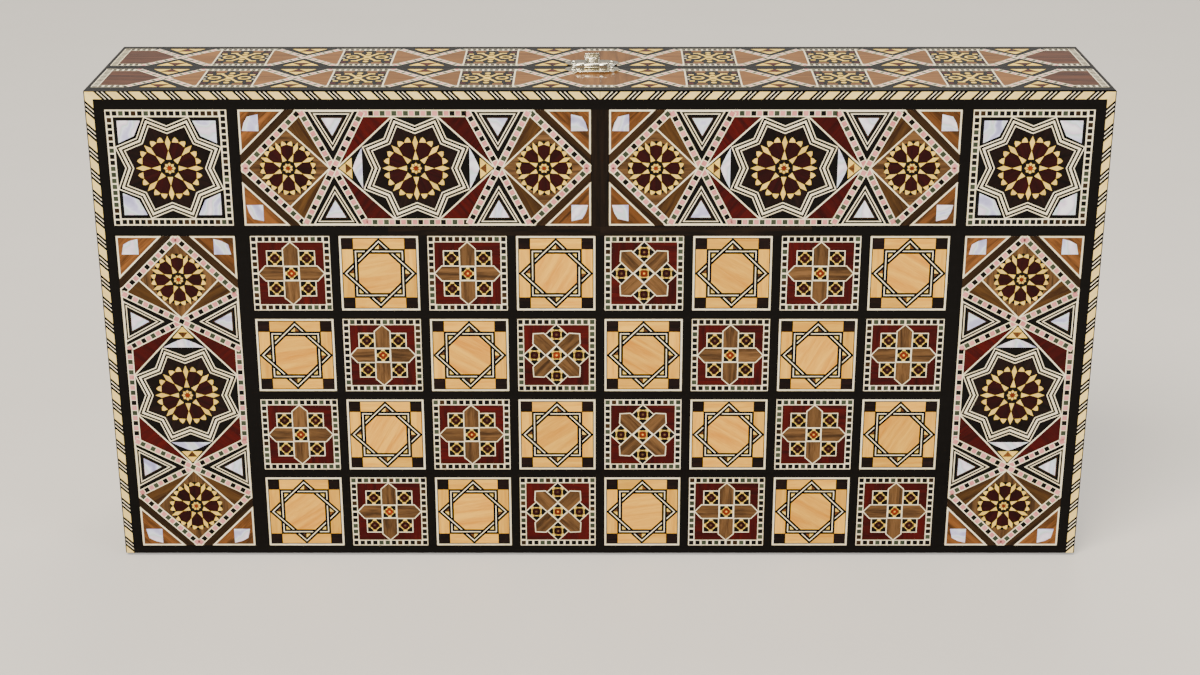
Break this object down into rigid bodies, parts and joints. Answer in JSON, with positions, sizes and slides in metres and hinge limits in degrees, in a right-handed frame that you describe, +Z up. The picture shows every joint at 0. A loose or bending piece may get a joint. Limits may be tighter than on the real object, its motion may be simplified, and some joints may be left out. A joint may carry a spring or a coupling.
{
  "type": "folding games box",
  "caption": "Folding games box of two hinged wooden trays with inlaid star marquetry, a chessboard outside, a backgammon field inside and a snap clasp.",
  "frame": {"origin": "middle of the shut box's footprint, on the surface that it stands on", "axes": "+X along the hinge edge, -Y out of the front board face, +Z up from the hinge edge to the clasp edge"},
  "size_m": [0.5, 0.092, 0.2564],
  "materials": {
    "ebony": "gloss lacquer",
    "tray_wood": "gloss lacquer over dark stain",
    "banding": "gloss lacquer",
    "light_ground": "gloss lacquer",
    "maple": "gloss lacquer",
    "red_ground": "gloss lacquer",
    "walnut": "gloss lacquer",
    "bone": "gloss lacquer over bone",
    "rosette": "gloss lacquer",
    "pearl": "mother of pearl under lacquer",
    "orange_wood": "gloss lacquer",
    "beech": "gloss lacquer",
    "field_wood": "satin lacquer",
    "point_wood": "satin lacquer",
    "brass": "polished",
    "nickel_brass": "polished nickel plate"
  },
  "bodies": {
    "front_tray": {"clasp_pin": "nickel_brass", "front_clasp_plate": "nickel_brass", "front_clasp_rail": "tray_wood", "front_corner_triangles": "orange_wood", "front_dark_crosses": "walnut", "front_dark_squares": "red_ground", "front_ebony_strips": "ebony", "front_edge_banding": "banding", "front_end_ebony": "ebony", "front_end_panels": "beech", "front_field_points": "point_wood", "front_hinge_leaves": "brass", "front_hinge_rail": "tray_wood", "front_left_end": "tray_wood", "front_light_squares": "light_ground", "front_light_stars": "maple", "front_nested_triangles": "pearl", "front_panel": "tray_wood", "front_panel_grounds": "red_ground", "front_rhombi": "walnut", "front_right_end": "tray_wood", "front_rosettes": "rosette", "front_strapwork": "bone", "front_top_ebony": "ebony", "front_top_hexagons": "beech", "front_tray_field": "field_wood", "hinge_pins": "brass"},
    "rear_tray": {"rear_clasp_plate": "nickel_brass", "rear_clasp_rail": "tray_wood", "rear_corner_triangles": "orange_wood", "rear_dark_crosses": "walnut", "rear_dark_squares": "red_ground", "rear_ebony_strips": "ebony", "rear_edge_banding": "banding", "rear_end_ebony": "ebony", "rear_end_panels": "beech", "rear_field_points": "point_wood", "rear_hinge_leaves": "brass", "rear_hinge_rail": "tray_wood", "rear_left_end": "tray_wood", "rear_light_squares": "light_ground", "rear_light_stars": "maple", "rear_nested_triangles": "pearl", "rear_panel": "tray_wood", "rear_panel_grounds": "red_ground", "rear_rhombi": "walnut", "rear_right_end": "tray_wood", "rear_rosettes": "rosette", "rear_strapwork": "bone", "rear_top_ebony": "ebony", "rear_top_hexagons": "beech", "rear_tray_field": "field_wood"},
    "clasp_tongue": {"clasp_tongue": "nickel_brass"}
  },
  "joints": [
    {"name": "tray_hinge", "type": "hinge", "parent": "front_tray", "child": "rear_tray", "pos_m": [0, 0, 0.0015], "axis": [-1, 0, 0], "range_deg": [0, 180]},
    {"name": "clasp_hinge", "type": "hinge", "parent": "front_tray", "child": "clasp_tongue", "pos_m": [-0.004, -0.006, 0.2538], "axis": [1, 0, 0], "range_deg": [0, 120]}
  ]
}
